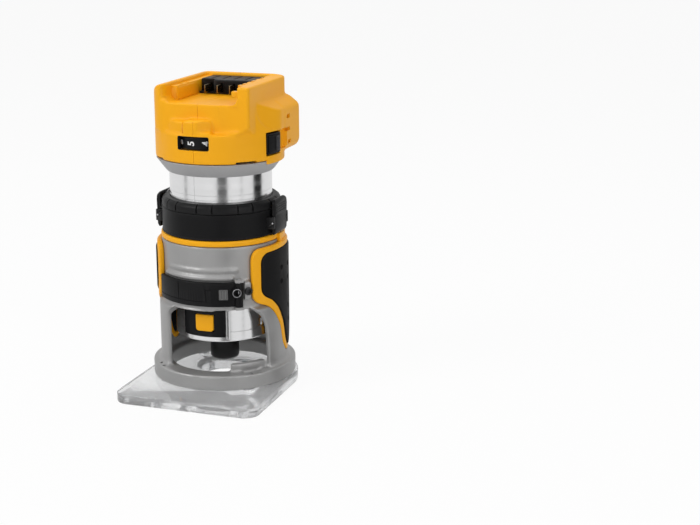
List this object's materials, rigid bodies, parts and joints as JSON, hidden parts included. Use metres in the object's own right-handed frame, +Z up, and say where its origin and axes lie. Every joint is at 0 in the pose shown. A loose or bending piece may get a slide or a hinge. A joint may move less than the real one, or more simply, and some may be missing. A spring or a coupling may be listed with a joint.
{
  "type": "trim router",
  "caption": "Compact cordless trim router: motor unit sliding in a clamped fixed base on a clear D-shaped plate.",
  "frame": {"origin": "centre of the bounding box on the underside of the clear sub-base plate", "axes": "+Z up along the spindle, -Y to the tool's front with the window, the lock button and the dial, +X to its right side with the power switch; the spindle axis stands at x 0, y +0.010745"},
  "size_m": [0.1016, 0.1232, 0.2087],
  "materials": {
    "yellow_plastic": "satin moulded",
    "black_plastic": "fine texture",
    "grip_rubber": "matte, ribbed",
    "cast_aluminium": "cast, painted silver",
    "turned_aluminium": "turned bright",
    "clear_acrylic": "clear polished plastic",
    "zinc_steel": "zinc plated",
    "black_steel": "black oxide",
    "grey_plastic": "satin",
    "copper_winding": "enamelled wire",
    "potted_board": "potted",
    "lens_clear": "clear",
    "contact_brass": "plated"
  },
  "bodies": {
    "base": {"base_casting": "cast_aluminium", "base_trim": "yellow_plastic", "clamp_bolt": "black_steel", "grip_left": "grip_rubber", "grip_right": "grip_rubber", "lever_pin": "zinc_steel", "release_collar": "black_plastic", "release_pin_left": "zinc_steel", "release_pin_right": "zinc_steel", "sub_base": "clear_acrylic", "sub_base_screw_1": "zinc_steel", "sub_base_screw_2": "zinc_steel", "sub_base_screw_3": "zinc_steel", "sub_base_screw_4": "zinc_steel"},
    "motor": {"bearing_lower": "zinc_steel", "bearing_upper": "zinc_steel", "contact_blade_1": "contact_brass", "contact_blade_2": "contact_brass", "contact_blade_3": "contact_brass", "contact_blade_4": "contact_brass", "controller_board": "potted_board", "head_flange": "grey_plastic", "head_screw_1": "zinc_steel", "head_screw_2": "zinc_steel", "head_screw_3": "zinc_steel", "head_screw_4": "zinc_steel", "head_shell_left": "yellow_plastic", "head_shell_right": "yellow_plastic", "led_lens_1": "lens_clear", "led_lens_2": "lens_clear", "led_lens_3": "lens_clear", "lock_panel": "black_plastic", "motor_can": "turned_aluminium", "nose_housing": "turned_aluminium", "speed_sensor": "grey_plastic", "stator_core": "zinc_steel", "switch_bezel": "black_plastic", "terminal_block": "black_plastic", "winding_lower": "copper_winding", "winding_upper": "copper_winding"},
    "clamp_lever": {"clamp_lever": "black_plastic"},
    "depth_ring": {"depth_ring": "black_plastic"},
    "release_tab_right": {"release_tab_right": "black_plastic"},
    "release_tab_left": {"release_tab_left": "black_plastic"},
    "spindle": {"spindle_shaft": "zinc_steel", "rotor": "zinc_steel", "fan": "black_plastic", "collet": "zinc_steel", "collet_nut": "black_steel"},
    "spindle_lock_button": {"spindle_lock_button": "yellow_plastic"},
    "speed_dial": {"speed_dial": "black_plastic"},
    "power_switch": {"power_switch": "black_plastic"}
  },
  "joints": [
    {"name": "depth_slide", "type": "slide", "parent": "base", "child": "motor", "axis": [0, 0, 1], "range_m": [-0.01, 0.024]},
    {"name": "depth_ring_turn", "type": "hinge", "parent": "base", "child": "depth_ring", "pos_m": [0, 0.01074, 0.128], "axis": [0, 0, 1], "range_deg": [-142.73, 341.16]},
    {"name": "clamp_lever_swing", "type": "hinge", "parent": "base", "child": "clamp_lever", "pos_m": [0.02666, -0.02464, 0.0718], "axis": [0, 0, 1], "range_deg": [0, 90]},
    {"name": "release_tab_right_press", "type": "hinge", "parent": "base", "child": "release_tab_right", "pos_m": [0.042, 0.01074, 0.1162], "axis": [0, -1, 0], "range_deg": [0, 2.5], "stiffness_Nm_per_rad": 0.3},
    {"name": "release_tab_left_press", "type": "hinge", "parent": "base", "child": "release_tab_left", "pos_m": [-0.042, 0.01074, 0.1162], "axis": [0, 1, 0], "range_deg": [0, 2.5], "stiffness_Nm_per_rad": 0.3},
    {"name": "spindle_spin", "type": "hinge", "parent": "motor", "child": "spindle", "pos_m": [0, 0.01074, 0.1], "axis": [0, 0, 1], "continuous": true},
    {"name": "spindle_lock_press", "type": "slide", "parent": "motor", "child": "spindle_lock_button", "axis": [0, 1, 0], "range_m": [0, 0.003], "stiffness_N_per_m": 300},
    {"name": "speed_dial_turn", "type": "hinge", "parent": "motor", "child": "speed_dial", "pos_m": [0, -0.01716, 0.1723], "axis": [0, 0, 1], "range_deg": [-70, 140]},
    {"name": "power_switch_rock", "type": "hinge", "parent": "motor", "child": "power_switch", "pos_m": [0.04123, 0.00273, 0.1695], "axis": [0, 0, 1], "range_deg": [0, 8]}
  ],
  "couplings": [
    {"joint": "depth_ring_turn", "follows": "depth_slide", "rad_per_m": 247.37}
  ]
}
